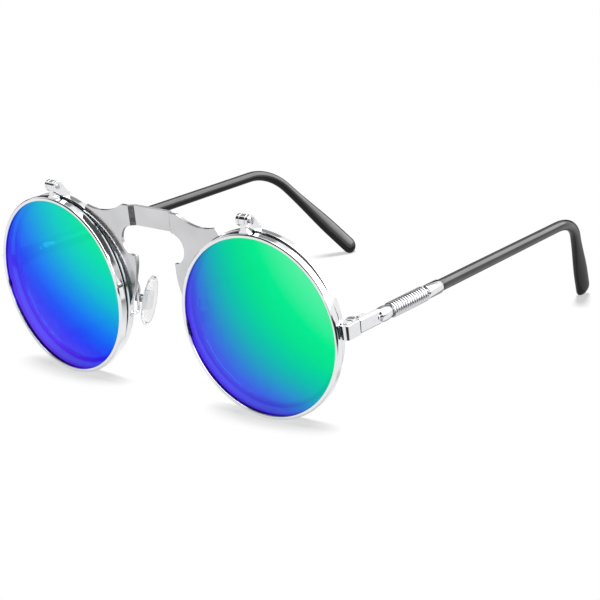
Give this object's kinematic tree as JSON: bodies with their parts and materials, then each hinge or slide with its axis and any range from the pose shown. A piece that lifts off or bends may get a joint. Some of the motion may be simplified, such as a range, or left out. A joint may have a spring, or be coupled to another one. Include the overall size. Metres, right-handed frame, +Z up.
{
  "type": "flip up sunglasses",
  "caption": "Round metal sunglasses: mirrored lenses in slim rings flip up from clear lenses on small top hinges; keyhole bridge, nose pads, coil spring temples with black sleeves.",
  "frame": {"origin": "centre of the footprint on the surface that the rings and the temple tips stand on", "axes": "+X to the wearer's left, +Y from the lenses back along the temples, +Z up"},
  "size_m": [0.1278, 0.1338, 0.055],
  "materials": {
    "polished_frame": "polished silver plate, lightly worn on the edges",
    "screw_steel": "plated steel, fine turned marks",
    "spring_steel": "bright drawn wire",
    "mirror_lens": "mirror coated tinted lens, violet through blue to green",
    "clear_lens": "clear and polished",
    "clear_pad": "clear soft silicone, satin",
    "black_sleeve": "gloss black moulded sleeve"
  },
  "bodies": {
    "front": {"bridge_plate": "polished_frame", "left_rear_rim": "polished_frame", "right_rear_rim": "polished_frame", "left_rear_lens": "clear_lens", "right_rear_lens": "clear_lens", "left_lock_upper": "polished_frame", "right_lock_upper": "polished_frame", "left_lock_lower": "polished_frame", "right_lock_lower": "polished_frame", "left_lock_screw": "screw_steel", "right_lock_screw": "screw_steel", "left_end_piece": "polished_frame", "right_end_piece": "polished_frame", "left_hinge_front_leaf": "polished_frame", "right_hinge_front_leaf": "polished_frame", "left_hinge_screw": "screw_steel", "right_hinge_screw": "screw_steel", "left_pad_arm": "polished_frame", "right_pad_arm": "polished_frame", "left_pad_screw": "screw_steel", "right_pad_screw": "screw_steel", "left_flip_base": "polished_frame", "right_flip_base": "polished_frame", "left_flip_pin": "screw_steel", "right_flip_pin": "screw_steel"},
    "left_temple": {"left_hinge_temple_leaf": "polished_frame", "left_temple_bar": "polished_frame", "left_collar": "polished_frame", "left_coil_spring": "spring_steel", "left_ferrule": "polished_frame", "left_sleeve": "black_sleeve"},
    "left_flip": {"left_flip_leaf": "polished_frame", "left_flip_ring": "polished_frame", "left_mirror_lens": "mirror_lens"},
    "pad_rocker_left": {"left_pad": "clear_pad", "left_pad_core": "screw_steel"},
    "right_temple": {"right_hinge_temple_leaf": "polished_frame", "right_temple_bar": "polished_frame", "right_collar": "polished_frame", "right_coil_spring": "spring_steel", "right_ferrule": "polished_frame", "right_sleeve": "black_sleeve"},
    "right_flip": {"right_flip_leaf": "polished_frame", "right_flip_ring": "polished_frame", "right_mirror_lens": "mirror_lens"},
    "pad_rocker_right": {"right_pad": "clear_pad", "right_pad_core": "screw_steel"}
  },
  "joints": [
    {"name": "left_temple_fold", "type": "hinge", "parent": "front", "child": "left_temple", "pos_m": [0.0604, -0.0557, 0.0274], "axis": [0.0013, -0.0244, 0.9997], "range_deg": [0, 82]},
    {"name": "right_temple_fold", "type": "hinge", "parent": "front", "child": "right_temple", "pos_m": [-0.0604, -0.0557, 0.0274], "axis": [0.0013, 0.0244, -0.9997], "range_deg": [0, 55]},
    {"name": "left_lens_flip", "type": "hinge", "parent": "front", "child": "left_flip", "pos_m": [0.03509, -0.06489, 0.05346], "axis": [-0.9972, -0.0748, -0.0048], "range_deg": [0, 95]},
    {"name": "right_lens_flip", "type": "hinge", "parent": "front", "child": "right_flip", "pos_m": [-0.03509, -0.06489, 0.05346], "axis": [-0.9972, 0.0748, 0.0048], "range_deg": [0, 95]},
    {"name": "left_pad_rock", "type": "hinge", "parent": "front", "child": "pad_rocker_left", "pos_m": [0.0122, -0.05738, 0.02336], "axis": [0.3419, 0.9258, -0.1614], "range_deg": [-8, 8]},
    {"name": "right_pad_rock", "type": "hinge", "parent": "front", "child": "pad_rocker_right", "pos_m": [-0.0122, -0.05738, 0.02336], "axis": [0.3419, -0.9258, 0.1614], "range_deg": [-8, 8]}
  ]
}
